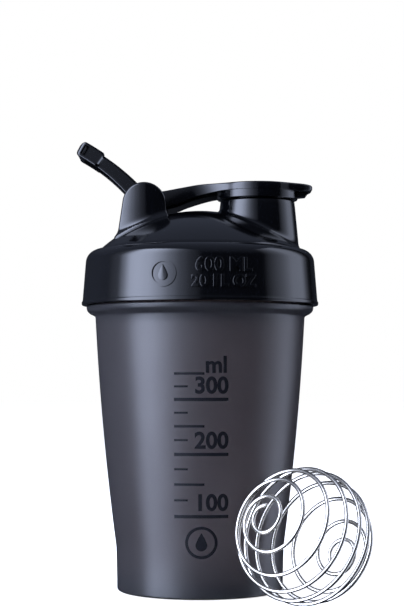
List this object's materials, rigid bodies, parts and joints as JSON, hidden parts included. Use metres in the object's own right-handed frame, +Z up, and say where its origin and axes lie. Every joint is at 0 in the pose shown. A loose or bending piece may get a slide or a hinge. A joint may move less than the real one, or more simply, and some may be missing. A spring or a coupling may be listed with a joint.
{
  "type": "protein shaker bottle",
  "caption": "Shaker bottle: smoke translucent cup, black screw lid with spout, flip cap and carry loop, and a wire whisk ball standing beside it.",
  "frame": {"origin": "centre of the cup's foot, on the surface that the cup stands on", "axes": "+Z up the bottle's axis, +X towards the spout, -X towards the hinge and the carry loop"},
  "size_m": [0.1177, 0.1244, 0.1852],
  "materials": {
    "smoke_plastic": "satin, translucent",
    "black_plastic": "gloss",
    "seal_rubber": "soft matte",
    "pin_steel": "ground",
    "wire_steel": "polished"
  },
  "bodies": {
    "cup": {"cup": "smoke_plastic"},
    "gasket": {"lid_gasket": "seal_rubber"},
    "lid": {"lid": "black_plastic", "hinge_pin": "pin_steel"},
    "flip_cap": {"flip_cap": "black_plastic", "spout_seal": "seal_rubber"},
    "carry_loop": {"carry_loop": "black_plastic"},
    "whisk_ball": {"whisk_ball": "wire_steel"}
  },
  "joints": [
    {"name": "lid_rise", "type": "slide", "parent": "cup", "child": "gasket", "axis": [0, 0, 1], "range_m": [0, 0.0075]},
    {"name": "lid_turn", "type": "hinge", "parent": "gasket", "child": "lid", "pos_m": [0, 0, 0.12], "axis": [0, 0, 1], "range_deg": [0, 540]},
    {"name": "flip_cap_hinge", "type": "hinge", "parent": "lid", "child": "flip_cap", "pos_m": [-0.0229, 0, 0.1584], "axis": [0, -1, 0], "range_deg": [0, 95]},
    {"name": "carry_loop_hinge", "type": "hinge", "parent": "lid", "child": "carry_loop", "pos_m": [-0.0229, 0, 0.1584], "axis": [0, -1, 0], "range_deg": [-12, 66]},
    {"name": "whisk_ball_slide", "type": "slide", "parent": "cup", "child": "whisk_ball", "axis": [1, 0, 0], "range_m": [0, 0.055]}
  ],
  "couplings": [
    {"joint": "lid_rise", "follows": "lid_turn", "m_per_rad": 0.00079577}
  ]
}
